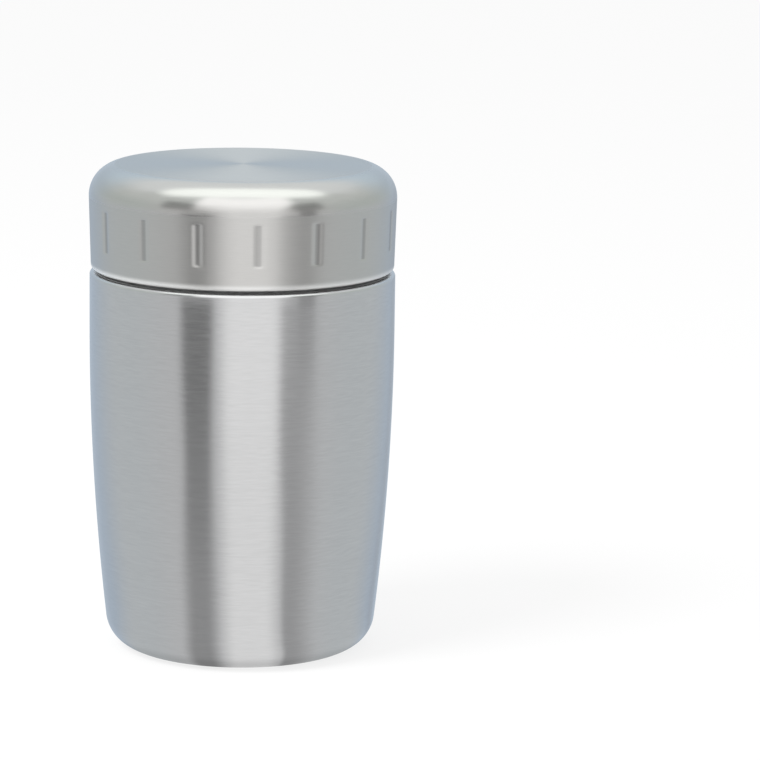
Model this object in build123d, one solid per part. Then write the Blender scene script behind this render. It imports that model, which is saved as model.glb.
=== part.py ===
from build123d import *
import os
from math import acos, asin, atan2, ceil, cos, degrees, hypot, radians, sin

# An insulated food jar: a double-walled steel pot with a vacuum between its walls,
# and a steel-capped plastic lid, filled with foam, that screws onto the neck.
# Millimetres. The jar's axis is Z, it stands on z = 0, and its front faces -Y.

# ---- outer shell ----
body_radius = 45.75          # straight upper part of the wall, outside
body_height = 114.3          # from the standing plane to the shoulder
taper_start = 97.7           # below this height the wall curves inwards
taper_radius = 781.0         # radius of that long curve
base_corner = 10.0           # rounding from the wall into the base
shoulder_round = 1.1         # rounding at the top of the wall
shoulder_width = 4.45        # from the wall in to the neck
shell_steel = 0.5            # sheet thickness

# ---- neck ----
neck_height = 15.7           # from the shoulder to the top of the shell's neck
neck_fillet = 1.0            # bend at the foot of the neck
neck_thickness = 3.0         # both walls of the neck and the vacuum between them
rim_bend = 1.0               # inner radius of the bend that closes the mouth

# ---- base ----
foot_width = 2.5             # standing ring, from the end of the corner inwards
foot_bend = 1.0              # outer radius where the ring turns up
flange_height = 4.4          # height of the shell's turned-up edge
recess_depth = 2.2           # underside of the pressed bottom above the standing plane
bottom_steel = 0.6           # bottom's sheet thickness
bottom_bend = 1.2            # outer radius between the bottom and its rim
dimple_radius = 5.0          # flat of the dimple round the evacuation hole
dimple_depth = 0.8
evacuation_radius = 1.0      # hole that the vacuum is drawn through
seal_radius = 3.2            # head of the bead that seals it
seal_head = 0.7              # thickness of that head
cover_steel = 0.5            # plate in the recess under the bottom
cover_lift = 0.6             # underside of the plate above the standing plane
cover_bend = 0.8             # outer radius between the plate and its rim
getter_inset = 12.25         # getter's centre from the rim of the pressed bottom
getter_radius = 4.2
getter_height = 1.8
getter_sheet = 0.3           # sheet thickness of the getter's holder

# ---- inner liner ----
liner_steel = 0.4            # sheet thickness
vacuum_gap = 3.8             # between the two walls
floor_height = 9.0           # inside floor above the standing plane
liner_corner = 8.0           # outer radius between floor and wall
liner_seam = 4.0             # weld between liner and liner bottom, above the corner
joggle_drop = 5.0            # from the shoulder down to the foot of the liner's neck
foil = 0.15                  # thickness of the heat shield
foil_margin = 3.0            # bare liner at each end of the sleeve

# ---- screw thread ----
thread_starts = 2
thread_pitch = 5.0           # between neighbouring ridges
thread_height = 1.1          # of a ridge above its wall
thread_root = 2.2            # width of a ridge at its root
thread_crest = 1.0           # and at its crest
thread_round = 0.25          # rounding along the crest
thread_sink = 0.25           # how far a ridge runs into its wall
thread_stretch = 0.25        # turns of a ridge that are swept at once
thread_bearing = 100.0       # where the first neck ridge starts, from +X
neck_thread_foot = 4.2       # from the shoulder to the lower end of a ridge
neck_thread_turns = 0.75     # length of each ridge on the neck
lid_thread_foot = 2.4        # from the lid's edge to the lower end of a ridge
lid_thread_turns = 0.5       # length of each ridge in the lid

# ---- lid ----
seam_gap = 0.9               # between the jar's shoulder and the lid's edge
lid_crown = 13.6             # from the top of the deck to the top of the lid
lid_overhang = 0.25          # widest radius of the lid beyond the jar's wall
lid_draft = 0.6              # how much narrower the lid is at its edge
lid_corner = 9.5             # rounding into the flat top
lid_curl = 1.3               # rounding into the turned-in edge
lid_steel = 0.5              # sheet thickness
edge_margin = 0.4            # from the skirt's bore to the turned-in edge
deck_thickness = 2.0         # plastic plate across the lid
plug_wall = 1.8
plug_depth = 10.0            # from the deck down to the end of the plug's wall
plate_thickness = 1.6        # plate that closes the plug
plate_round = 0.9
collar_wall = 1.7            # ring on that plate, inside the plug's wall
collar_overlap = 2.8         # how far the ring runs into the plug
gasket_groove = 2.2          # from the plate up to the end of the plug's wall
gasket_heel = 1.4            # thick part of the gasket, measured outwards
gasket_lip = 0.5             # height of the edge that seals

# ---- grip flutes pressed into the lid ----
flute_count = 16
flute_turn = 5.8             # angle of the first flute from the front, towards +X
flute_foot = 7.1             # lower end of a flute above the lid's edge
flute_length = 12.5
flute_width = 4.2
flute_depth = 0.75

# ---- clearances ----
seat_fit = 0.05              # between pieces that are welded together
cap_fit = 0.1                # steel cap over the plastic
foam_fit = 0.1               # foam in its cavity
collar_fit = 0.1             # collar in the plug
groove_fit = 0.1             # gasket in its groove
cover_fit = 0.15             # cover plate in its recess
gasket_play = 0.25           # gasket in the mouth, drawn as if not squeezed
plug_play = 0.6              # plug in the mouth
rim_play = 0.5               # deck above the rim
thread_play = 0.3            # crest to wall, and flank to flank

# ---- worked out: the two pots ----
neck_radius = body_radius - shoulder_width
mouth_radius = neck_radius - neck_thickness
neck_top = body_height + neck_height
rim_top = neck_top + liner_steel
taper_x = body_radius - taper_radius
foot_reach = taper_radius - base_corner
wall_lean = degrees(asin((taper_start - base_corner) / foot_reach))
foot_radius = taper_x + foot_reach * cos(radians(wall_lean))
recess_radius = foot_radius - foot_width

liner_inset = shell_steel + vacuum_gap
liner_radius = body_radius - liner_inset
liner_neck = mouth_radius + liner_steel
liner_under = floor_height - liner_steel
liner_corner_z = liner_under + liner_corner
joggle = (liner_radius - liner_neck) / 2
joggle_top = body_height - joggle_drop
joggle_foot = joggle_top - 2 * joggle
liner_reach = taper_radius - liner_inset - liner_corner
liner_lean = degrees(asin((taper_start - liner_corner_z) / liner_reach))
liner_corner_x = taper_x + liner_reach * cos(radians(liner_lean))
liner_split = liner_corner_z + liner_seam

# ---- worked out: the lid ----
lid_base = body_height + seam_gap
deck_under = rim_top + rim_play
deck_top = deck_under + deck_thickness
lid_top = deck_top + lid_crown
lid_radius = body_radius + lid_overhang
curl_x = lid_radius - lid_draft - lid_curl
curl_z = lid_base + lid_curl
corner_x = lid_radius - lid_corner
corner_z = lid_top - lid_corner
side_run = hypot(corner_x - curl_x, corner_z - curl_z)
side_climb = atan2(corner_z - curl_z, corner_x - curl_x)
side_tilt = degrees(acos((lid_curl - lid_corner) / side_run) - side_climb)

thread_lead = thread_pitch * thread_starts
thread_slope = (thread_root - thread_crest) / 2 / thread_height
thread_offset = (thread_root + thread_crest) / 2 + thread_play * (1 - thread_slope)
skirt_bore = neck_radius + thread_height + thread_play
edge_radius = skirt_bore + edge_margin
plug_radius = mouth_radius - plug_play
plug_foot = deck_under - plug_depth
plate_top = plug_foot - gasket_groove
collar_radius = plug_radius - plug_wall - collar_fit
collar_bore = collar_radius - collar_wall
flute_round = (flute_width ** 2 / 4 + flute_depth ** 2) / (2 * flute_depth)

TOUCHING = 1e-6              # points nearer than this are one point


# ---- helpers: outlines are drawn in the half plane of radius and height ----

def bend(centre, radius, first, last):
    """An arc about a centre, from one angle to another, in degrees from straight outwards."""
    angles = [radians(a) for a in (first, (first + last) / 2, last)]
    return ThreePointArc(*[
        (centre[0] + radius * cos(a), centre[1] + radius * sin(a)) for a in angles
    ])


def outline(*stops):
    """Points and arcs in order, joined by straight runs, as a list of edges."""
    edges, end = [], None
    for stop in stops:
        is_point = isinstance(stop, tuple)
        start = Vector(*stop) if is_point else stop @ 0
        if end is not None and (start - end).length > TOUCHING:
            edges.append(Line(end, start))
        if not is_point:
            edges.append(stop)
        end = start if is_point else stop @ 1
    return edges


def turned(edges):
    """The solid that a closed outline sweeps about the axis."""
    return revolve(make_face([Plane.XZ * edge for edge in edges]), Axis.Z)


def turned_profile(*stops):
    """The same from points and arcs, closed back to the first point."""
    return turned(outline(*stops, stops[0]))


def turned_sheet(path, thickness):
    """Sheet metal: path(0) draws one face of it, and path(thickness) the other."""
    near, far = path(0), path(thickness)
    ends = [Line(near[0] @ 0, far[0] @ 0), Line(near[-1] @ 1, far[-1] @ 1)]
    return turned(near + far + [end for end in ends if end.length > TOUCHING])


def turned_form(path, inset):
    """The whole solid inside a path that ends on the axis."""
    edges = path(inset)
    first, last = edges[0] @ 0, edges[-1] @ 1
    return turned(edges + outline((first.X, first.Y), (0, first.Y), (0, last.Y)))


def tube(outer, inner, low, high):
    """An upright ring between two heights, or a disc where inner is 0."""
    return turned_profile((inner, low), (outer, low), (outer, high), (inner, high))


def joined(piece, additions):
    """A piece with others joined to it, one after another."""
    for addition in additions:
        piece += addition
    return piece


def round_about(piece, count, first):
    """Equal copies of a piece about the axis."""
    return [Rot(0, 0, first + 360 / count * i) * piece for i in range(count)]


# ---- the shell, the liner and what lies between them ----

def shell_path(inset):
    """The shell's outside, or a line that far inside it: turned-up edge to top of neck."""
    shoulder_x = body_radius - shoulder_round
    shoulder_z = body_height - shoulder_round
    return outline(
        (recess_radius + inset, flange_height),
        bend((recess_radius + foot_bend, foot_bend), foot_bend - inset, 180, 270),
        bend((foot_radius, base_corner), base_corner - inset, -90, -wall_lean),
        bend((taper_x, taper_start), taper_radius - inset, -wall_lean, 0),
        bend((shoulder_x, shoulder_z), shoulder_round - inset, 0, 90),
        bend((neck_radius + neck_fillet, body_height + neck_fillet),
             neck_fillet + inset, 270, 180),
        (neck_radius - inset, neck_top),
    )


def liner_path(inset):
    """The liner's vacuum side, or a line that far inside it: middle of floor to rim."""
    return outline(
        (0, liner_under + inset),
        bend((liner_corner_x, liner_corner_z), liner_corner - inset, -90, -liner_lean),
        bend((taper_x, taper_start), taper_radius - liner_inset - inset, -liner_lean, 0),
        bend((liner_radius - joggle, joggle_foot), joggle - inset, 0, 90),
        bend((liner_neck + joggle, joggle_top), joggle + inset, 270, 180),
        bend((liner_neck + rim_bend, neck_top - rim_bend), rim_bend + inset, 180, 90),
        (neck_radius, neck_top + inset),
    )


def shield_path(inset):
    """The heat shield's outside, or a line that far inside it, close round the liner."""
    return liner_path(inset - foil - seat_fit)


def bottom_path(inset):
    """The pressed bottom's underside, or a line that far above it: hole to rim."""
    rim_x = recess_radius - seat_fit
    return outline(
        (evacuation_radius, recess_depth + dimple_depth + inset),
        (dimple_radius, recess_depth + dimple_depth + inset),
        (dimple_radius + dimple_depth, recess_depth + inset),
        bend((rim_x - bottom_bend, recess_depth + bottom_bend),
             bottom_bend - inset, -90, 0),
        (rim_x - inset, flange_height),
    )


def cover_path(inset):
    """The cover plate's underside, or a line that far above it: middle to rim."""
    rim_x = recess_radius - cover_fit
    return outline(
        (0, cover_lift + inset),
        bend((rim_x - cover_bend, cover_lift + cover_bend), cover_bend - inset, -90, 0),
        (rim_x - inset, recess_depth),
    )


def make_outer_shell():
    """The drawn outer wall, with the neck and its rolled thread."""
    foot = body_height + neck_thread_foot
    ridges = thread(neck_radius, thread_height, foot, thread_bearing, neck_thread_turns)
    return joined(turned_sheet(shell_path, shell_steel), ridges)


def make_liner_and_bottom():
    """The inner pot, as its wall with the rolled rim and its pressed bottom."""
    pot = turned_sheet(liner_path, liner_steel)
    wall = tube(body_radius, 0, liner_split, rim_top)
    floor = tube(body_radius, 0, 0, liner_split)
    return pot & wall, pot & floor


def make_heat_shield():
    """Foil round the liner's wall, and a disc of it under the floor."""
    high = joggle_foot - foil_margin
    span = tube(body_radius, 0, liner_split + foil_margin, high)
    sleeve = turned_sheet(shield_path, foil) & span
    top = liner_under - seat_fit
    return sleeve, tube(liner_corner_x, 0, top - foil, top)


def make_evacuation_seal():
    """The bead that closes the evacuation hole from below, with its stem in the hole."""
    top = recess_depth + dimple_depth
    stem = evacuation_radius - seat_fit
    return turned_profile(
        (0, top - seal_head),
        bend((seal_radius - seal_head, top), seal_head, -90, 0),
        (stem, top),
        (stem, top + bottom_steel),
        (0, top + bottom_steel),
    )


def make_getter():
    """The pill that soaks up stray gas, and its cup, welded on the pressed bottom."""
    seat = recess_depth + bottom_steel
    floor = seat + getter_sheet
    high = floor + getter_height
    wall = getter_radius + seat_fit
    cup = tube(wall + getter_sheet, 0, seat, high) - tube(wall, 0, floor, high)
    spot = Pos(recess_radius - getter_inset, 0, 0)
    return spot * tube(getter_radius, 0, floor, high), spot * cup


# ---- the screw thread ----

def thread(wall, height, foot, bearing, turns):
    """Helical ridges on a round wall, inwards where height is below 0.

    Each ridge is short stretches set end to end, with the first one's lower end at the
    height `foot` and at `bearing` from +X.
    """
    count = ceil(turns / thread_stretch)
    stretch_turns = turns / count
    path = Helix(thread_lead, thread_lead * stretch_turns, wall)
    crest_x = abs(height)
    section = make_face(Polyline(
        (-thread_sink, -thread_root / 2),
        (0, -thread_root / 2),
        (crest_x, -thread_crest / 2),
        (crest_x, thread_crest / 2),
        (0, thread_root / 2),
        (-thread_sink, thread_root / 2),
        close=True,
    ))
    section = fillet(section.vertices().group_by(Axis.X)[-1], thread_round)
    outwards = 1 if height > 0 else -1
    start = Plane(origin=path @ 0, x_dir=(outwards, 0, 0), z_dir=path % 0)
    stretch = sweep(start * section, path=path, is_frenet=True)
    ridge = [
        Pos(0, 0, foot + thread_lead * stretch_turns * i)
        * Rot(0, 0, 360 * stretch_turns * i) * stretch
        for i in range(count)
    ]
    return [
        copy for piece in ridge for copy in round_about(piece, thread_starts, bearing)
    ]


# ---- the lid ----

def lid_path(inset):
    """The cap's outside, or a line that far inside it: turned-in edge to middle of top."""
    return outline(
        (edge_radius, lid_base + inset),
        bend((curl_x, curl_z), lid_curl - inset, -90, -side_tilt),
        bend((corner_x, corner_z), lid_corner - inset, -side_tilt, 90),
        (0, lid_top - inset),
    )


def flutes(growth):
    """The round-ended bars that press the flutes in, all made larger by `growth`."""
    along = Vector(sin(radians(side_tilt)), 0, cos(radians(side_tilt)))
    outwards = Vector(cos(radians(side_tilt)), 0, -sin(radians(side_tilt)))
    foot = Vector(curl_x, 0, curl_z) + outwards * lid_curl
    rise = lid_base + flute_foot + flute_length / 2 - foot.Z
    middle = foot + along * (rise / along.Z) + outwards * (flute_round - flute_depth)
    bar_radius = flute_round + growth
    end_z = (flute_length - flute_width) / 2
    bar = turned_profile(
        (0, -end_z - bar_radius),
        bend((0, -end_z), bar_radius, -90, 0),
        bend((0, end_z), bar_radius, 0, 90),
    )
    placed = Plane(origin=middle, x_dir=-outwards, z_dir=along) * bar
    return round_about(placed, flute_count, flute_turn - 90)


def make_lid_cap():
    """The drawn steel cap: turned in at its edge, with the flutes pressed into its side."""
    inside = turned_form(lid_path, lid_steel)
    pressed = [inside & bar for bar in flutes(lid_steel)]
    return turned_sheet(lid_path, lid_steel) + pressed - flutes(0)


def make_lid_body():
    """The moulded plastic: threaded skirt, deck and the plug's wall, in one piece.

    Each of its ridges lies just under the neck ridge that holds it down.
    """
    body = turned_form(lid_path, lid_steel + cap_fit)
    body &= tube(lid_radius, 0, lid_base, deck_top)
    body -= flutes(lid_steel + cap_fit)
    body -= tube(skirt_bore, 0, lid_base, deck_under)
    body += tube(plug_radius, plug_radius - plug_wall, plug_foot, deck_under)
    foot = lid_base + lid_thread_foot
    climb = foot + thread_offset - body_height - neck_thread_foot
    bearing = thread_bearing + 360 * climb / thread_lead
    ridges = thread(skirt_bore, -thread_height, foot, bearing, lid_thread_turns)
    return joined(body, ridges)


def make_plug_plate():
    """The moulded plate that closes the plug, with the collar that enters it."""
    collar_top = plug_foot + collar_overlap
    bottom = plate_top - plate_thickness
    return turned_profile(
        (0, bottom),
        bend((plug_radius - plate_round, bottom + plate_round), plate_round, -90, 0),
        (plug_radius, plate_top),
        (collar_radius, plate_top),
        (collar_radius, collar_top),
        (collar_bore, collar_top),
        (collar_bore, plate_top),
        (0, plate_top),
    )


def make_lid_gasket():
    """The silicone ring in the groove between the plate and the plug's wall."""
    low = plate_top + groove_fit
    high = plug_foot - groove_fit
    middle = (low + high) / 2
    inner = collar_radius + groove_fit
    heel = inner + gasket_heel
    lip = mouth_radius - gasket_play
    return turned_profile(
        (inner, low), (heel, low), (lip, middle - gasket_lip / 2),
        (lip, middle + gasket_lip / 2), (heel, high), (inner, high),
    )


def make_top_foam():
    """The foam between the deck and the top of the cap."""
    foam = turned_form(lid_path, lid_steel + foam_fit)
    foam &= tube(lid_radius, 0, deck_top, lid_top)
    return foam - flutes(lid_steel + foam_fit)


def make_plug_foam():
    """The foam inside the plug."""
    return tube(collar_bore - foam_fit, 0, plate_top, deck_under)


inner_liner, liner_bottom = make_liner_and_bottom()
shield_sleeve, shield_disc = make_heat_shield()
getter_pill, getter_cup = make_getter()

nodes = {
    "outer_shell": make_outer_shell(),
    "outer_bottom": turned_sheet(bottom_path, bottom_steel),
    "bottom_cover": turned_sheet(cover_path, cover_steel),
    "inner_liner": inner_liner,
    "liner_bottom": liner_bottom,
    "heat_shield_sleeve": shield_sleeve,
    "heat_shield_disc": shield_disc,
    "getter_pill": getter_pill,
    "getter_cup": getter_cup,
    "evacuation_seal": make_evacuation_seal(),
    "lid_cap": make_lid_cap(),
    "lid_body": make_lid_body(),
    "lid_top_foam": make_top_foam(),
    "lid_plug_foam": make_plug_foam(),
    "lid_plug_plate": make_plug_plate(),
    "lid_gasket": make_lid_gasket(),
}

os.makedirs("parts", exist_ok=True)
for name, piece in nodes.items():
    piece.label = name
    export_step(piece, f"parts/{name}.step")
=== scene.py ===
"""The looks of an insulated food jar: brushed steel, pressed grips and a plain studio.

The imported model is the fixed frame. Its two large steel skins are made again here as
finely divided meshes, and every other piece keeps its solid and gets a material.
Lengths are in metres, +Z is up, the jar's axis is Z and its front faces -Y.
"""
from math import acos, asin, atan2, cos, degrees, hypot, pi, radians, sin

import bpy
from mathutils import Matrix, Vector


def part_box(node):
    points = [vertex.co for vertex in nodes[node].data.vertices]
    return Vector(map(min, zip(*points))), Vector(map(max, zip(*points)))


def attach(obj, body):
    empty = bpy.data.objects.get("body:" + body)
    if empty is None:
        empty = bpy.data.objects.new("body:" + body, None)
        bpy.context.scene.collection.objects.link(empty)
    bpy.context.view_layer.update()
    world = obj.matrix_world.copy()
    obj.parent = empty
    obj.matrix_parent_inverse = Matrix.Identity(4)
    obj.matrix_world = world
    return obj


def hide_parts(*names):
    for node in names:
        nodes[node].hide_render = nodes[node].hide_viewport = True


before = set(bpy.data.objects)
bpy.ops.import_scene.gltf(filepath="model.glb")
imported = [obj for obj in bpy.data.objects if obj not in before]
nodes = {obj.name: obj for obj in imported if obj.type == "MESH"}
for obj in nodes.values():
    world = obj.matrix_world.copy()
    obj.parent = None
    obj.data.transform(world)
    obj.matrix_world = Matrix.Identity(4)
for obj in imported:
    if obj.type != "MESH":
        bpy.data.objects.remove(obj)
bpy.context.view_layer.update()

MM = 0.001

# ---- sizes of the outer shell ----
TAPER_START = 97.7 * MM      # below this height the wall curves inwards
TAPER_RADIUS = 781 * MM
BASE_CORNER = 10 * MM
SHOULDER_ROUND = 1.1 * MM
SHOULDER_WIDTH = 4.45 * MM
BODY_HEIGHT = 114.3 * MM
NECK_FILLET = 1 * MM
FOOT_WIDTH = 2.5 * MM
FOOT_BEND = 1 * MM
FLANGE_HEIGHT = 4.4 * MM
STEEL = 0.5 * MM             # sheet thickness

# ---- sizes of the lid's cap ----
LID_DRAFT = 0.6 * MM
LID_CORNER = 9.5 * MM
LID_CURL = 1.3 * MM
EDGE_RADIUS = 43.1 * MM      # inner edge of the turned-in rim
FLUTE_COUNT = 16
FLUTE_TURN = 5.8             # angle of the first flute from the front, towards +X
FLUTE_FOOT = 6.9 * MM        # lower end of a flute above the lid's edge
FLUTE_LENGTH = 12.9 * MM
FLUTE_WIDTH = 4.6 * MM
FLUTE_DEPTH = 0.3 * MM
FLUTE_FLANK = 2.3 * MM       # from a flute's side to its full depth
FLUTE_RAMP = 0.55 * MM       # from its end to its full depth

# ---- sizes of the thread on the neck ----
THREAD_STARTS = 2
THREAD_LEAD = 10 * MM        # climb in one turn
THREAD_TURNS = 0.75
THREAD_BEARING = 100         # where the first ridge starts, from +X
THREAD_FOOT = 4.2 * MM       # above the shoulder
THREAD_HEIGHT = 1.1 * MM
THREAD_ROOT = 2.2 * MM
THREAD_FLANK = 0.6 * MM
THREAD_SINK = 0.25 * MM      # how far a ridge runs into the neck
THREAD_EDGE = 0.025 * MM     # how far its flanks start under the neck's surface
THREAD_SWELL = 0.07          # share of its length in which each end reaches full height

# ---- how finely the meshes are divided ----
ON_AXIS = 1e-7               # a point with a smaller radius lies on the axis
SHELL_SIDES = 240
SHELL_ROWS = 28              # in the foot's corner, and again in the wall's long curve
SHELL_ROWS_INSIDE = 10
WALL_TOP_ROWS = 3            # in the straight part above that curve
NECK_ROWS = 5
ROUND_ROWS = 8               # round the shoulder, and round the cap's edge
BEND_ROWS = 6                # round a small bend
CAP_ROWS = (52, 32)          # in the cap's side, and in its bend
CAP_ROWS_INSIDE = (20, 10)
CAP_RINGS = (0.3 * MM, 1.5 * MM, 6 * MM, 14 * MM, 24 * MM)   # in its top, from the bend inwards
FLUTE_COLUMNS = 16           # across a flute
FLUTE_SPAN = 0.36            # share of the flutes' pitch that those columns take
BETWEEN_FLUTES = [0.27, 0.37]   # the other columns, in pitches from a flute's middle
RIDGE_STEPS = 72             # along a thread ridge
RIDGE_COLUMNS = 12           # across it

# ---- the brushing: strokes round the axis ----
FINE_STROKE = (4.5 * MM, 0.33 * MM, 3)     # length, width and detail
BROAD_STROKE = (20 * MM, 1.2 * MM, 2)
BROAD_SHARE = 0.28           # of the broad strokes, where the brushing has full strength
STROKE_TONES = (0.25, 0.75)  # values of the pattern that get the darkest and palest tone
DARKEST, PALEST = 0.045, 0.035   # how much darker and paler than the steel they are
STROKE_GLOSS = 0.08          # how much the roughness varies
STROKE_DEPTH = 0.02 * MM

# ---- finish of the cap, with its painted shade and painted highlight ----
DULL_SIDE = (9.2 * MM, 9.9 * MM)    # below the cap's top, where its duller side begins
SIDE_DULLNESS = 0.15
DULL_TOP = (38.7 * MM, 38.0 * MM)   # radius inside which its top is duller
TOP_DULLNESS = 0.16
# painted shade: the bottom of each pressed flute is painted darker
FLUTE_PAINTED_SHADE_COLOUR = (0.02, 0.02, 0.03)
FLUTE_PAINTED_SHADE = 0.27           # share of that colour at the bottom of a flute, a painted shade
EDGE_HIGHLIGHT_BAND = (2.3 * MM, 0.6 * MM)  # above the cap's edge, where its painted highlight begins
# painted highlight: a pale, less metallic band along the cap's edge, standing in for a bright
# reflection
EDGE_HIGHLIGHT_COLOUR = (0.82, 0.82, 0.81)
EDGE_HIGHLIGHT_METAL = 0.6

# ---- finish of the shoulder: its inner part, under the lid, is left dull ----
LEDGE_HEIGHTS = (BODY_HEIGHT - 0.06 * MM, BODY_HEIGHT + 0.5 * MM)
LEDGE_SOFT = 0.06 * MM
LEDGE_EDGE = (44.3 * MM, 43.7 * MM)   # radius inside which it is dull
LEDGE_DULLNESS = 0.3
LEDGE_METAL = 0.4

# ---- the camera ----
PHOTO_SIDE = 760             # pixels
FOCAL_PIXELS = 3977.6
SENSOR = 36                  # millimetres, as a lens counts them
CAMERA_PLACE = Vector((0, -1.17745, 0.30355))
CAMERA_PITCH = 10.688        # degrees down
CAMERA_YAW = 2.024           # degrees towards +X
CAMERA_ROLL = 0.793
CAMERA_RANGE = 100

# ---- the lamp ----
LAMP_PLACE = Vector((-0.75, -0.55, 1.1))
LAMP_SIZE = 0.7
LAMP_POWER = 14

# ---- the floor ----
WHITE = (1, 1, 1)
FLOOR_SIZE = 12
FLOOR_COLOUR = (0.95, 0.95, 0.95)
FLOOR_WHITENESS = 0.8        # share of plain white in what the camera sees of it
FLOOR_DROP = 80 * MM         # how far below the studio's middle the steel sees it
SPREAD_REACH = 33 * MM       # nearer the axis than this, the studio is spread more than twofold
SPREAD_MIDDLE = 6            # bearing that it is spread from
FOOT_SHADE = (35 * MM, 41 * MM)     # radius where the shade at the jar's foot ends
FOOT_LIGHT = (0.74, 0.98)    # light on the floor in that shade and outside it

# ---- the studio that the steel reflects ----
# Angles are in degrees: up from level, or round from the front towards +X. Along a pair
# something grows from nothing to full, so the first number may be the larger one. Three
# numbers are the two ends of a band and the softness of its edges.
WORLD_LIGHT = (0.8, 0.8, 0.8)
LOW = (-2, -6)               # what the jar's wall sees
LEVEL = (-7, 11, 5)          # what the lid's side sees
HIGH = (11, 33, 5)           # what the lid's rounded corner sees

# The low, level and high walls: their colours in front, beside and behind, and the
# bearings between which they turn from the first to the second
WALLS = (
    ((0.655, 0.66, 0.665), (0.625, 0.658, 0.675), (0.50, 0.58, 0.675), (45, 100)),
    ((0.65, 0.65, 0.645), (0.58, 0.625, 0.605), (0.53, 0.615, 0.70), (45, 90)),
    ((0.69, 0.72, 0.70), (0.69, 0.72, 0.70), (0.66, 0.78, 0.88), (45, 90)),
)
BACK_WALL = (110, 160)       # where the colours behind take over
LEVEL_WALL = (-4, 5)         # where the level walls do, and the high ones
HIGH_WALL = (10, 32)
CORNER = (155, 173, 14)      # the darkest part of the low wall, behind at the right
CORNER_COLOUR = (0.45, 0.505, 0.575)
CEILING = (0.91, 0.94, 0.945)
CEILING_EDGES = (46, 28)     # where it begins, in front and behind
CEILING_TURN = (84, 108)     # and the bearings between
CEILING_SOFT = 22

# The tall softbox in front: its upper part is wider and brighter
FRONT_LEFT, FRONT_RIGHT = -16, 27.5              # its edges
FRONT_STEP, STEP_LEFT = (8, 14), -20             # here the left one moves out
FRONT_WIDE, WIDE_LEFT, WIDE_RIGHT = (20, 32), -4, 7   # and here both do
FRONT_DEEP, DEEP_RIGHT = (-12, -24), 1           # low down, the right one moves a little
LEVEL_RIGHT = 3                                  # and where it is level
FRONT_LEAN = 0.2             # how much its right edge leans out for each degree up
FRONT_SOFT = (10, 20)        # softness of its edges: plain, and where it is level or deep
FRONT_TOP = (70, 50)         # its upper end
FRONT_GLOW, GLOW_RISE = (0.99, 1.47), (4, 42)    # it brightens upwards
FRONT_BRIGHT, BRIGHT_GLOW = (-12, -4, 6), 0.08   # with a brighter band below level
DIM_TURN, DIM_RISE, DIM_GLOW = (-8, -38), (34, 22), 0.75   # and is dimmer at the left

# The softbox overhead: an ellipse on a ceiling one unit up
OVERHEAD_COLOUR = (1.52, 1.58, 1.53)
OVERHEAD_AHEAD = 0.13        # how far its middle is in front of the jar
OVERHEAD_WIDTH, OVERHEAD_LENGTH = 0.92, 0.35     # half of each
OVERHEAD_EDGE = (1.2, 0.8)   # its soft edge, in those halves
OVERHEAD_RISE = (20, 30)

# The black flags either side of the front softbox: the low part of the left one
LEFT_START, LEFT_END, LEFT_SOFT = -45.5, -24.5, 7
LEFT_DARK = 0.97
LEFT_FADE, FADE_AMOUNT = (-3, -15), -0.43        # it fades downwards
LEFT_FOOT, FOOT_AMOUNT = (-20, -36), -0.1        # and again towards the jar's foot
LEFT_FAR, FAR_WIDER = (-12, -6), 2.5             # its far end is wider at both sides
LEFT_CLOSE, CLOSE_WIDER, CLOSE_SOFTER = (-14, -34), -4.5, 8   # its near end at the left, and softer
# the low part of the right one
RIGHT_DARK = 0.33
RIGHT_START, RIGHT_END = (26, 33), (68, 36)      # its soft edges
RIGHT_ASIDE, ASIDE_TURN = (-16, -26), -5         # low down it stands further round
# and their other parts: how dark each is, and its band
LEVEL_FLAGS = ((0.18, (-46, -25, 10)), (0.5, (42, 56, 6)))
HIGH_FLAGS = ((0.55, (-64, -38.5, 6)), (0.55, (38, 63, 8)))


# ---- profiles: lists of (radius, height) ----

def arc(centre, radius, first, last, count):
    """Points along an arc, between two angles in degrees from straight outwards."""
    angles = [radians(first + (last - first) * i / count) for i in range(count + 1)]
    return [(centre[0] + radius * cos(a), centre[1] + radius * sin(a)) for a in angles]


def run(start, end, count):
    """Points inside a straight run, without its two ends."""
    return [
        tuple(a + (b - a) * i / (count + 1) for a, b in zip(start, end))
        for i in range(1, count + 1)
    ]


def shell_profile(inset, body_radius, neck_top, rows):
    """The shell's outside, or a line that far inside it, from turned-up edge to neck."""
    taper_x = body_radius - TAPER_RADIUS
    reach = TAPER_RADIUS - BASE_CORNER
    lean = degrees(asin((TAPER_START - BASE_CORNER) / reach))
    foot = taper_x + reach * cos(radians(lean))
    recess = foot - FOOT_WIDTH
    neck = body_radius - SHOULDER_WIDTH
    shoulder = (body_radius - SHOULDER_ROUND, BODY_HEIGHT - SHOULDER_ROUND)
    fillet = (neck + NECK_FILLET, BODY_HEIGHT + NECK_FILLET)
    base = arc((foot, BASE_CORNER), BASE_CORNER - inset, -90, -lean, rows)
    wall = arc((taper_x, TAPER_START), TAPER_RADIUS - inset, -lean, 0, rows)
    round_top = arc(shoulder, SHOULDER_ROUND - inset, 0, 90, ROUND_ROWS)
    bend_up = arc(fillet, NECK_FILLET + inset, 270, 180, BEND_ROWS)
    top = (neck - inset, neck_top)
    return (
        [(recess + inset, FLANGE_HEIGHT)]
        + arc((recess + FOOT_BEND, FOOT_BEND), FOOT_BEND - inset, 180, 270, BEND_ROWS)
        + base
        + wall[1:]
        + run(wall[-1], round_top[0], WALL_TOP_ROWS)
        + round_top
        + bend_up
        + run(bend_up[-1], top, NECK_ROWS)
        + [top]
    )


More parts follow.
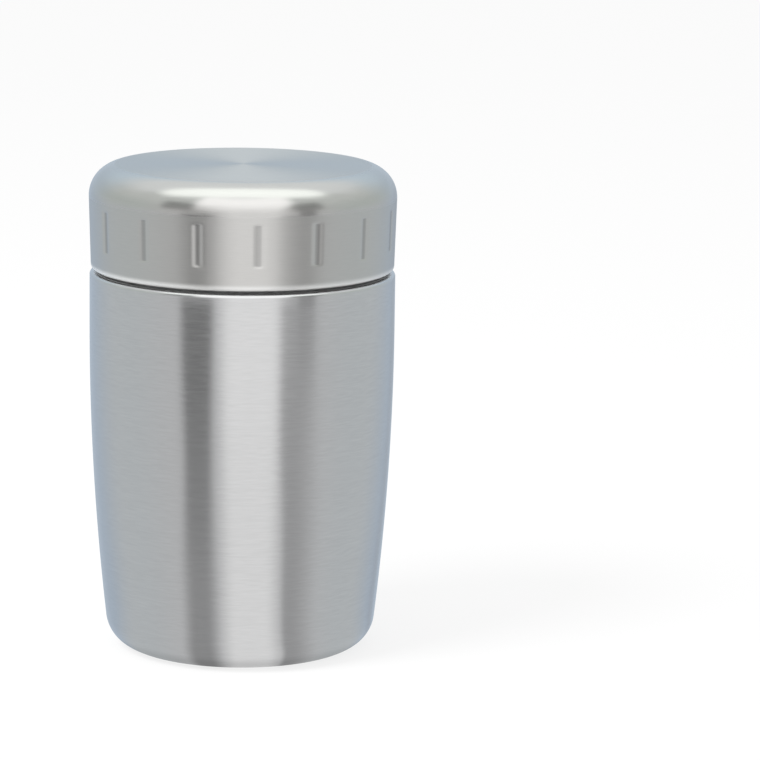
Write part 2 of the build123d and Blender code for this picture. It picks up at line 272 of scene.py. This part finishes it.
def cap_corners(lid_radius, lid_base, lid_top):
    """Centres of the cap's two bends, and the angle that its side leans outwards."""
    curl = (lid_radius - LID_DRAFT - LID_CURL, lid_base + LID_CURL)
    corner = (lid_radius - LID_CORNER, lid_top - LID_CORNER)
    across, climb = corner[0] - curl[0], corner[1] - curl[1]
    reach = hypot(across, climb)
    return curl, corner, degrees(acos((LID_CURL - LID_CORNER) / reach) - atan2(climb, across))


def cap_profile(inset, lid_radius, lid_base, lid_top, side_rows, bend_rows):
    """The cap's outside, or a line that far inside it, from turned-in edge to middle."""
    curl, corner, tilt = cap_corners(lid_radius, lid_base, lid_top)
    low = arc(curl, LID_CURL - inset, -90, -tilt, ROUND_ROWS)
    high = arc(corner, LID_CORNER - inset, -tilt, 90, bend_rows)
    return (
        [(EDGE_RADIUS, lid_base + inset)]
        + low
        + run(low[-1], high[0], side_rows)
        + high
        + [(high[-1][0] - ring, lid_top - inset) for ring in CAP_RINGS]
        + [(0, lid_top - inset)]
    )


# ---- meshes turned about the axis ----

def mesh_piece(name, points, faces):
    mesh = bpy.data.meshes.new(name)
    mesh.from_pydata(points, [], faces)
    mesh.validate()
    mesh.shade_smooth()
    piece = bpy.data.objects.new(name, mesh)
    bpy.context.scene.collection.objects.link(piece)
    return piece


def lathe(name, outline, angles, depth=None):
    """A closed mesh: an outline swept about the axis, pushed inwards by depth(angle, height).

    The depth of each point is kept as its attribute "pressed".
    """
    points, faces, rings, pressed = [], [], [], []
    for radius, height in outline:
        if radius < ON_AXIS:
            rings.append([len(points)] * len(angles))
            points.append((0, 0, height))
            pressed.append(0)
            continue
        rings.append(range(len(points), len(points) + len(angles)))
        for a in angles:
            pressed.append(depth(a, height) if depth else 0)
            r = radius - pressed[-1]
            points.append((r * sin(a), -r * cos(a), height))
    for low, high in zip(rings, rings[1:] + rings[:1]):
        for i in range(len(angles)):
            j = (i + 1) % len(angles)
            corners = list(dict.fromkeys((low[i], low[j], high[j], high[i])))
            if len(corners) > 2:
                faces.append(corners)
    piece = mesh_piece(name, points, faces)
    kept = piece.data.attributes.new("pressed", "FLOAT", "POINT")
    kept.data.foreach_set("value", pressed)
    return piece


def even_angles(count):
    return [2 * pi * i / count for i in range(count)]


def flute_angles():
    """Angles round the cap, close together across each flute and wide between them."""
    step = 2 * pi / FLUTE_COUNT
    last = FLUTE_COLUMNS - 1
    across = [FLUTE_SPAN * (i / last - 0.5) for i in range(FLUTE_COLUMNS)]
    share = [-0.5] + [-s for s in BETWEEN_FLUTES[::-1]] + across + BETWEEN_FLUTES
    return [radians(FLUTE_TURN) + step * (i + s) for i in range(FLUTE_COUNT) for s in share]


def smooth_step(value):
    value = min(max(value, 0), 1)
    return value * value * (3 - 2 * value)


def flute_depth(lid_radius, lid_base):
    """How deep the flutes press the cap's side in, as a function of angle and height."""
    step = 2 * pi / FLUTE_COUNT
    middle = lid_base + FLUTE_FOOT + FLUTE_LENGTH / 2

    def depth(angle, height):
        turn = (angle - radians(FLUTE_TURN) + step / 2) % step - step / 2
        from_side = FLUTE_WIDTH / 2 - abs(turn) * lid_radius
        from_end = FLUTE_LENGTH / 2 - abs(height - middle)
        flank = smooth_step(from_side / FLUTE_FLANK)
        return FLUTE_DEPTH * flank * smooth_step(from_end / FLUTE_RAMP)

    return depth


def make_ridge(name, neck_radius, bearing):
    """One rounded thread ridge, which grows out of the neck and dies back into it."""
    across = [THREAD_ROOT * (i / RIDGE_COLUMNS - 0.5) for i in range(RIDGE_COLUMNS + 1)]
    points, faces = [], []
    for i in range(RIDGE_STEPS + 1):
        share = i / RIDGE_STEPS
        turn = radians(bearing) + 2 * pi * THREAD_TURNS * share
        middle = BODY_HEIGHT + THREAD_FOOT + THREAD_LEAD * THREAD_TURNS * share
        swell = smooth_step(min(share, 1 - share) / THREAD_SWELL)
        for up in across:
            rise = smooth_step((THREAD_ROOT / 2 - abs(up)) / THREAD_FLANK) * swell
            r = neck_radius + THREAD_HEIGHT * rise - THREAD_EDGE
            points.append((r * cos(turn), r * sin(turn), middle + up))
        for up in (across[-1], across[0]):
            r = neck_radius - THREAD_SINK
            points.append((r * cos(turn), r * sin(turn), middle + up))
    ring = len(across) + 2
    for i in range(RIDGE_STEPS):
        for j in range(ring):
            a, b = i * ring + j, i * ring + (j + 1) % ring
            faces.append((a, b, b + ring, a + ring))
    start, end = tuple(range(ring)), tuple(range(RIDGE_STEPS * ring, len(points)))
    faces += [start[::-1], end]
    return mesh_piece(name, points, faces)


def least_radius(low, high):
    """The radius of a round node, from the nearest side of its box."""
    return min(high.x, high.y, -low.x, -low.y)


def make_shell():
    """The outer wall, closed in itself, with the ridges of its thread."""
    low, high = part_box("outer_shell")
    radius = least_radius(low, high)
    outside = shell_profile(0, radius, high.z, SHELL_ROWS)
    inside = shell_profile(STEEL, radius, high.z, SHELL_ROWS_INSIDE)
    pieces = [lathe("shell", outside + inside[::-1], even_angles(SHELL_SIDES))]
    for i in range(THREAD_STARTS):
        bearing = THREAD_BEARING + 360 * i / THREAD_STARTS
        pieces.append(make_ridge(f"thread_{i + 1}", radius - SHOULDER_WIDTH, bearing))
    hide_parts("outer_shell")
    for piece in pieces:
        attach(piece, "jar")
    return pieces


def make_cap():
    """The lid's steel cap with its pressed flutes."""
    low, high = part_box("lid_cap")
    radius = least_radius(low, high)
    outside = cap_profile(0, radius, low.z, high.z, *CAP_ROWS)
    inside = cap_profile(STEEL, radius, low.z, high.z, *CAP_ROWS_INSIDE)
    cap = lathe("cap", outside + inside[::-1], flute_angles(), flute_depth(radius, low.z))
    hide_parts("lid_cap")
    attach(cap, "lid")
    return cap


# ---- shader nodes ----

class Graph:
    """One node tree. Most methods add nodes to it and give back an output socket."""

    def __init__(self, tree):
        self.tree = tree
        tree.nodes.clear()

    def node(self, kind, inputs=(), **settings):
        """A new node with its inputs fed and its settings made."""
        made = self.tree.nodes.new(kind)
        for key, value in settings.items():
            setattr(made, key, value)
        for key, value in dict(inputs).items():
            self.feed(made.inputs[key], value)
        return made

    def feed(self, socket, value):
        """Link a socket to another one, or set it. A colour is three numbers."""
        if isinstance(value, bpy.types.NodeSocket):
            self.tree.links.new(value, socket)
        elif socket.type == "RGBA":
            socket.default_value = (*value, 1)
        else:
            socket.default_value = value

    def math(self, operation, *values):
        made = self.node("ShaderNodeMath", enumerate(values), operation=operation)
        return made.outputs[0]

    def chain(self, operation, first, *others):
        for other in others:
            first = self.math(operation, first, other)
        return first

    def add(self, *values):
        return self.chain("ADD", *values)

    def times(self, *values):
        return self.chain("MULTIPLY", *values)

    def largest(self, *values):
        return self.chain("MAXIMUM", *values)

    def blend(self, share, start, end):
        """A number that goes from start to end as share goes from 0 to 1."""
        return self.math("MULTIPLY_ADD", share, end - start, start)

    def length(self, x, y):
        return self.math("SQRT", self.add(self.times(x, x), self.times(y, y)))

    def ramp(self, value, low, high):
        """0 below low, 1 above high, smooth between. Low may be the larger one."""
        made = self.node(
            "ShaderNodeMapRange",
            {"Value": value, "From Min": low, "From Max": high},
            interpolation_type="SMOOTHSTEP",
        )
        return made.outputs["Result"]

    def band(self, value, low, high, soft):
        """1 between low and high, with edges as wide as soft."""
        half = self.times(soft, 0.5)
        rise = self.ramp(value, self.math("SUBTRACT", low, half), self.add(low, half))
        fall = self.ramp(value, self.add(high, half), self.math("SUBTRACT", high, half))
        return self.times(rise, fall)

    def mix(self, share, first, second):
        """One colour turning into another, at the node's inputs 6 and 7 and output 2."""
        made = self.node("ShaderNodeMix", {0: share}, data_type="RGBA")
        self.feed(made.inputs[6], first)
        self.feed(made.inputs[7], second)
        return made.outputs[2]

    def shades(self, share, colour, darkest, palest=1):
        """From a darker to a paler shade of one colour."""
        return self.mix(share, *([c * level for c in colour] for level in (darkest, palest)))

    def shader(self, kind, inputs=()):
        return self.node(kind, inputs).outputs[0]

    def mix_shaders(self, share, first, second):
        return self.shader("ShaderNodeMixShader", {0: share, 1: first, 2: second})

    def noise(self, vector, size, detail, roughness=0.5):
        """Smooth noise, with features as large as size."""
        made = self.node(
            "ShaderNodeTexNoise",
            {"Vector": vector, "Scale": 1 / size, "Detail": detail, "Roughness": roughness},
        )
        return made.outputs["Fac"]

    def bump(self, height, distance, strength):
        made = self.node(
            "ShaderNodeBump", {"Strength": strength, "Distance": distance, "Height": height}
        )
        return made.outputs[0]

    def split(self, vector):
        return self.node("ShaderNodeSeparateXYZ", {0: vector}).outputs[:3]

    def join(self, x, y, z):
        return self.node("ShaderNodeCombineXYZ", {0: x, 1: y, 2: z}).outputs[0]

    def place(self):
        """The object's own coordinates."""
        return self.node("ShaderNodeTexCoord").outputs["Object"]


def new_material(name):
    made = bpy.data.materials.new(name)
    made.use_nodes = True
    return made, Graph(made.node_tree)


def finish_material(graph, inputs):
    shader = graph.shader("ShaderNodeBsdfPrincipled", inputs)
    graph.node("ShaderNodeOutputMaterial", {"Surface": shader})


# ---- the steel ----

def brushed_steel(name, colour, roughness, anisotropy, strength=1.0, along=1, finish=None):
    """Steel brushed round the axis.

    Along is 1 or -1: how the radius counts along the profile. Finish is a function that
    changes the look in some places.
    """
    made, graph = new_material(name)
    x, y, z = graph.split(graph.place())
    radius = graph.length(x, y)
    path = graph.add(z, graph.times(radius, along))

    def strokes(length, width, detail):
        parts = ((x, length), (y, length), (path, width))
        scaled = [graph.times(part, 1 / size) for part, size in parts]
        return graph.noise(graph.join(*scaled), size=1, detail=detail)

    broad = BROAD_SHARE * strength
    lines = graph.add(
        graph.times(strokes(*FINE_STROKE), 1 - broad),
        graph.times(strokes(*BROAD_STROKE), broad),
    )
    gloss = graph.times(graph.add(lines, -0.5), STROKE_GLOSS * strength)
    tones = (1 - DARKEST * strength, 1 + PALEST * strength)
    look = {
        "Base Color": graph.shades(graph.ramp(lines, *STROKE_TONES), colour, *tones),
        "Metallic": 1.0,
        "Roughness": graph.add(gloss, roughness),
        "Anisotropic": anisotropy,
        "Anisotropic Rotation": 0.25,
        "Normal": graph.bump(lines, STROKE_DEPTH * strength, 1.0),
        "Tangent": graph.node("ShaderNodeTangent", direction_type="RADIAL", axis="Z").outputs[0],
    }
    if finish:
        finish(graph, radius, z, look)
    finish_material(graph, look)
    return made


def cap_finish_and_painted_light(graph, radius, height, look):
    """The cap's side and top are duller than the bend between them.

    Its edge is painted pale and less metallic, a painted highlight, and the bottom of its pressed
    flutes is painted darker, a painted shade.
    """
    foot, crown = [corner.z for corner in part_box("lid_cap")]
    side = graph.ramp(height, *(crown - below for below in DULL_SIDE))
    top = graph.ramp(radius, *DULL_TOP)
    look["Roughness"] = graph.add(
        look["Roughness"], graph.times(side, SIDE_DULLNESS), graph.times(top, TOP_DULLNESS)
    )
    # painted shade: the bottom of each pressed flute is painted towards a dark colour
    pressed = graph.node("ShaderNodeAttribute", attribute_name="pressed").outputs["Fac"]
    bottom = graph.ramp(pressed, FLUTE_DEPTH / 2, FLUTE_DEPTH)
    paint = graph.mix(graph.times(bottom, FLUTE_PAINTED_SHADE), look["Base Color"], FLUTE_PAINTED_SHADE_COLOUR)
    # painted highlight: the cap's edge is painted pale and made less metallic
    edge_highlight = graph.ramp(height, *(foot + above for above in EDGE_HIGHLIGHT_BAND))
    look["Base Color"] = graph.mix(edge_highlight, paint, EDGE_HIGHLIGHT_COLOUR)
    look["Metallic"] = graph.blend(edge_highlight, 1, EDGE_HIGHLIGHT_METAL)


def shoulder_finish(graph, radius, height, look):
    """The inner part of the shoulder is duller, so the gap under the lid isn't black."""
    dull = graph.times(
        graph.band(height, *LEDGE_HEIGHTS, LEDGE_SOFT), graph.ramp(radius, *LEDGE_EDGE)
    )
    look["Roughness"] = graph.add(look["Roughness"], graph.times(dull, LEDGE_DULLNESS))
    look["Metallic"] = graph.blend(dull, 1, LEDGE_METAL)


# ---- the other materials ----

def moulded_plastic(name, colour, roughness):
    """Grey plastic with the fine grain of a spark-eroded mould."""
    made, graph = new_material(name)
    grain = graph.noise(graph.place(), size=0.35 * MM, detail=3, roughness=0.6)
    cloud = graph.noise(graph.place(), size=12 * MM, detail=2)
    finish_material(graph, {
        "Base Color": graph.shades(cloud, colour, darkest=0.9, palest=1.1),
        "Roughness": graph.blend(cloud, roughness, roughness + 0.08),
        "Normal": graph.bump(grain, distance=0.02 * MM, strength=0.25),
    })
    return made


def silicone(name, colour):
    """Soft rubber that lets a little light in, with a dusty bloom."""
    made, graph = new_material(name)
    bloom = graph.noise(graph.place(), size=3 * MM, detail=4, roughness=0.6)
    finish_material(graph, {
        "Base Color": graph.shades(bloom, colour, darkest=0.94),
        "Roughness": graph.blend(bloom, 0.45, 0.6),
        "Subsurface Weight": 0.25,
        "Subsurface Radius": (1, 1, 1),
        "Subsurface Scale": 0.8 * MM,
    })
    return made


def rigid_foam(name, colour):
    """Cast foam with open cells."""
    made, graph = new_material(name)
    cells = graph.node(
        "ShaderNodeTexVoronoi", {"Vector": graph.place(), "Scale": 1 / (0.7 * MM)}
    ).outputs["Distance"]
    finish_material(graph, {
        "Base Color": graph.shades(cells, colour, darkest=0.75),
        "Roughness": 0.85,
        "Normal": graph.bump(cells, distance=0.3 * MM, strength=0.7),
    })
    return made


def crinkled_foil(name, colour):
    """Thin foil, wrapped by hand."""
    made, graph = new_material(name)
    creases = graph.noise(graph.place(), size=9 * MM, detail=4, roughness=0.6)
    finish_material(graph, {
        "Base Color": graph.shades(creases, colour, darkest=0.9),
        "Metallic": 1.0,
        "Roughness": graph.blend(creases, 0.15, 0.35),
        "Normal": graph.bump(creases, distance=0.6 * MM, strength=0.5),
    })
    return made


def sintered_metal(name, colour):
    """Pressed metal powder."""
    made, graph = new_material(name)
    grit = graph.noise(graph.place(), size=0.25 * MM, detail=4, roughness=0.7)
    finish_material(graph, {
        "Base Color": graph.shades(grit, colour, darkest=0.7),
        "Metallic": 0.8,
        "Roughness": 0.6,
        "Normal": graph.bump(grit, distance=0.08 * MM, strength=0.6),
    })
    return made


def seal_glass(name, colour):
    """The dark glass of the bead that closes the vacuum."""
    made, graph = new_material(name)
    swirl = graph.noise(graph.place(), size=2 * MM, detail=3)
    finish_material(graph, {
        "Base Color": graph.shades(swirl, colour, darkest=0.8),
        "Roughness": graph.blend(swirl, 0.08, 0.18),
        "Coat Weight": 0.5,
    })
    return made


def dress(piece, material):
    piece.data.materials.clear()
    piece.data.materials.append(material)


def dress_solids():
    """Every node that still shows gets its material."""
    inner = brushed_steel("liner_steel", (0.84, 0.84, 0.835), roughness=0.42, anisotropy=0.5)
    base = brushed_steel("base_steel", (0.66, 0.66, 0.665), roughness=0.34, anisotropy=0.8)
    getter = brushed_steel("getter_steel", (0.5, 0.5, 0.5), roughness=0.4, anisotropy=0.2)
    plastic = moulded_plastic("lid_plastic", (0.4, 0.4, 0.41), roughness=0.42)
    foam = rigid_foam("lid_foam", (0.85, 0.81, 0.68))
    foil = crinkled_foil("heat_foil", (0.86, 0.86, 0.87))
    finishes = {
        "outer_bottom": base,
        "bottom_cover": base,
        "inner_liner": inner,
        "liner_bottom": inner,
        "heat_shield_sleeve": foil,
        "heat_shield_disc": foil,
        "getter_pill": sintered_metal("getter_metal", (0.2, 0.2, 0.21)),
        "getter_cup": getter,
        "evacuation_seal": seal_glass("bead_glass", (0.05, 0.06, 0.06)),
        "lid_body": plastic,
        "lid_top_foam": foam,
        "lid_plug_foam": foam,
        "lid_plug_plate": plastic,
        "lid_gasket": silicone("gasket_silicone", (0.62, 0.63, 0.63)),
    }
    for name, material in finishes.items():
        dress(nodes[name], material)


# ---- the studio ----

def compass(graph, direction):
    """Degrees round from the front towards +X, and degrees up from level."""
    unit = graph.node("ShaderNodeVectorMath", {0: direction}, operation="NORMALIZE").outputs[0]
    x, y, z = graph.split(unit)
    turn = graph.math("ARCTAN2", x, graph.times(y, -1))
    return graph.math("DEGREES", turn), graph.math("DEGREES", graph.math("ARCSINE", z))


def walls(graph, turn, rise):
    """Walls that are neutral in front and bluish behind, and a pale ceiling."""
    side = graph.math("ABSOLUTE", turn)
    behind = graph.ramp(side, *BACK_WALL)

    def wall(front, beside, back, turning):
        seen = graph.mix(graph.ramp(side, *turning), front, beside)
        return graph.mix(behind, seen, back)

    low, level, high = [wall(*colours) for colours in WALLS]
    low = graph.mix(graph.band(turn, *CORNER), low, CORNER_COLOUR)
    seen = graph.mix(graph.ramp(rise, *LEVEL_WALL), low, level)
    seen = graph.mix(graph.ramp(rise, *HIGH_WALL), seen, high)
    edge = graph.blend(graph.ramp(side, *CEILING_TURN), *CEILING_EDGES)
    return graph.mix(graph.ramp(rise, edge, graph.add(edge, CEILING_SOFT)), seen, CEILING)


def front_softbox(graph, turn, rise):
    """How much of a direction the softbox in front takes, and how bright it is there."""
    level = graph.band(rise, *LEVEL)
    wide = graph.ramp(rise, *FRONT_WIDE)
    deep = graph.ramp(rise, *FRONT_DEEP)
    left = graph.add(
        graph.times(graph.ramp(rise, *FRONT_STEP), STEP_LEFT),
        graph.times(wide, WIDE_LEFT),
        FRONT_LEFT,
    )
    right = graph.add(
        graph.times(graph.largest(rise, 0), FRONT_LEAN),
        graph.times(wide, WIDE_RIGHT),
        graph.times(level, LEVEL_RIGHT),
        graph.times(deep, DEEP_RIGHT),
        FRONT_RIGHT,
    )
    soft = graph.blend(graph.largest(level, deep), *FRONT_SOFT)
    share = graph.times(graph.band(turn, left, right, soft), graph.ramp(rise, *FRONT_TOP))
    glow = graph.add(
        graph.blend(graph.ramp(rise, *GLOW_RISE), *FRONT_GLOW),
        graph.times(graph.band(rise, *FRONT_BRIGHT), BRIGHT_GLOW),
    )
    dim = graph.times(graph.ramp(turn, *DIM_TURN), graph.ramp(rise, *DIM_RISE))
    return share, graph.times(glow, graph.blend(dim, 1, DIM_GLOW))


def overhead_softbox(graph, turn, rise):
    """How much of a direction the softbox overhead takes."""
    from_top = graph.math("RADIANS", graph.math("SUBTRACT", 90, graph.largest(rise, 0)))
    away = graph.math("TANGENT", from_top)
    bearing = graph.math("RADIANS", turn)
    across = graph.times(away, graph.math("SINE", bearing))
    ahead = graph.add(graph.times(away, graph.math("COSINE", bearing)), -OVERHEAD_AHEAD)
    spread = graph.length(
        graph.times(across, 1 / OVERHEAD_WIDTH), graph.times(ahead, 1 / OVERHEAD_LENGTH)
    )
    return graph.times(graph.ramp(spread, *OVERHEAD_EDGE), graph.ramp(rise, *OVERHEAD_RISE))


def low_left_flag(graph, turn, rise):
    """How dark the left flag is in the low part of the studio."""
    dark = graph.add(
        graph.times(graph.ramp(rise, *LEFT_FADE), FADE_AMOUNT),
        graph.times(graph.ramp(rise, *LEFT_FOOT), FOOT_AMOUNT),
        LEFT_DARK,
    )
    far = graph.times(graph.ramp(rise, *LEFT_FAR), FAR_WIDER)
    close = graph.ramp(rise, *LEFT_CLOSE)
    start = graph.add(graph.times(close, CLOSE_WIDER), graph.times(far, -1), LEFT_START)
    end = graph.add(far, LEFT_END)
    soft = graph.blend(close, LEFT_SOFT, LEFT_SOFT + CLOSE_SOFTER)
    return graph.times(dark, graph.band(turn, start, end, soft))


def low_right_flag(graph, turn, rise):
    """How dark the right flag is there."""
    aside = graph.add(turn, graph.times(graph.ramp(rise, *RIGHT_ASIDE), ASIDE_TURN))
    return graph.times(
        graph.ramp(aside, *RIGHT_START), graph.ramp(aside, *RIGHT_END), RIGHT_DARK
    )


def flags(graph, turn, rise):
    """How dark the black flags are in a direction."""
    low = graph.ramp(rise, *LOW)
    shares = [
        graph.times(low, low_left_flag(graph, turn, rise)),
        graph.times(low, low_right_flag(graph, turn, rise)),
    ]
    for height, parts in ((LEVEL, LEVEL_FLAGS), (HIGH, HIGH_FLAGS)):
        here = graph.band(rise, *height)
        for dark, sweep in parts:
            shares.append(graph.times(here, graph.band(turn, *sweep), dark))
    return graph.largest(*shares)


def studio(graph, turn, rise, shade):
    """What polished metal sees in a direction: walls, softboxes and black flags."""
    share, glow = front_softbox(graph, turn, rise)
    seen = graph.mix(share, walls(graph, turn, rise), graph.join(glow, glow, glow))
    seen = graph.mix(overhead_softbox(graph, turn, rise), seen, OVERHEAD_COLOUR)
    light = graph.times(shade, graph.math("SUBTRACT", 1, flags(graph, turn, rise)))
    made = graph.node("ShaderNodeVectorMath", {0: seen, "Scale": light}, operation="SCALE")
    return made.outputs[0]


def make_world():
    """White behind the jar, even light on it, and the studio in its reflections."""
    world = bpy.data.worlds.new("studio")
    bpy.context.scene.world = world
    world.use_nodes = True
    graph = Graph(world.node_tree)
    turn, rise = compass(graph, graph.node("ShaderNodeTexCoord").outputs["Generated"])
    rays = graph.node("ShaderNodeLightPath").outputs
    seen = graph.mix(rays["Is Glossy Ray"], WORLD_LIGHT, studio(graph, turn, rise, 1))
    seen = graph.mix(rays["Is Camera Ray"], seen, WHITE)
    light = graph.shader("ShaderNodeBackground", {"Color": seen, "Strength": 1.0})
    graph.node("ShaderNodeOutputWorld", {"Surface": light})


def make_floor():
    """A white table, which keeps the jar's shadow and shows the studio in the steel.

    Seen from below it is clear, so that the jar's underside shows.
    """
    bpy.ops.mesh.primitive_plane_add(size=FLOOR_SIZE)
    floor = bpy.context.object
    floor.name = "floor"
    made, graph = new_material("white_table")
    x, y, _ = graph.split(graph.place())
    reach = graph.length(x, y)
    turn, rise = compass(graph, graph.join(x, y, -FLOOR_DROP))
    near = graph.math("DIVIDE", SPREAD_REACH, reach)
    turn = graph.add(turn, graph.times(near, graph.add(turn, -SPREAD_MIDDLE)))
    shade = graph.blend(graph.ramp(reach, *FOOT_SHADE), *FOOT_LIGHT)
    mirrored = graph.shader("ShaderNodeEmission", {"Color": studio(graph, turn, rise, shade)})
    plain = graph.shader("ShaderNodeBsdfDiffuse", {"Color": FLOOR_COLOUR})
    white = graph.shader("ShaderNodeEmission", {"Color": WHITE})
    clear = graph.shader("ShaderNodeBsdfTransparent")
    rays = graph.node("ShaderNodeLightPath").outputs
    below = graph.node("ShaderNodeNewGeometry").outputs["Backfacing"]
    table = graph.mix_shaders(graph.times(rays["Is Camera Ray"], FLOOR_WHITENESS), plain, white)
    table = graph.mix_shaders(rays["Is Glossy Ray"], table, mirrored)
    table = graph.mix_shaders(graph.times(rays["Is Camera Ray"], below), table, clear)
    graph.node("ShaderNodeOutputMaterial", {"Surface": table})
    dress(floor, made)


def make_lamp():
    """One large soft lamp, high up at the left, for the shadow to the right."""
    lamp = bpy.data.lights.new("softbox", "AREA")
    lamp.shape = "DISK"
    lamp.size = LAMP_SIZE
    lamp.energy = LAMP_POWER
    made = bpy.data.objects.new("softbox", lamp)
    made.location = LAMP_PLACE
    made.rotation_euler = (-LAMP_PLACE).to_track_quat("-Z", "Y").to_euler()
    made.visible_glossy = False
    bpy.context.scene.collection.objects.link(made)


def make_camera():
    """The camera looks a little down and past the jar, which stands left of its middle."""
    lens = bpy.data.cameras.new("camera")
    lens.sensor_width = SENSOR
    lens.lens = FOCAL_PIXELS / PHOTO_SIDE * SENSOR
    lens.clip_end = CAMERA_RANGE
    camera = bpy.data.objects.new("camera", lens)
    turned = (
        Matrix.Rotation(radians(-CAMERA_YAW), 4, "Z")
        @ Matrix.Rotation(radians(90 - CAMERA_PITCH), 4, "X")
        @ Matrix.Rotation(radians(CAMERA_ROLL), 4, "Z")
    )
    camera.matrix_world = Matrix.Translation(CAMERA_PLACE) @ turned
    bpy.context.scene.collection.objects.link(camera)
    bpy.context.scene.camera = camera


make_camera()
make_world()
make_floor()
make_lamp()
bpy.context.scene.view_settings.view_transform = "Standard"

shell_steel = brushed_steel(
    "shell_steel", (0.665, 0.665, 0.668),
    roughness=0.195, anisotropy=0.75, strength=0.9, finish=shoulder_finish,
)
for piece in make_shell():
    dress(piece, shell_steel)
cap_steel = brushed_steel(
    "cap_steel", (0.633, 0.625, 0.611),
    roughness=0.2, anisotropy=0.72, strength=0.45, along=-1, finish=cap_finish_and_painted_light,
)
dress(make_cap(), cap_steel)
dress_solids()
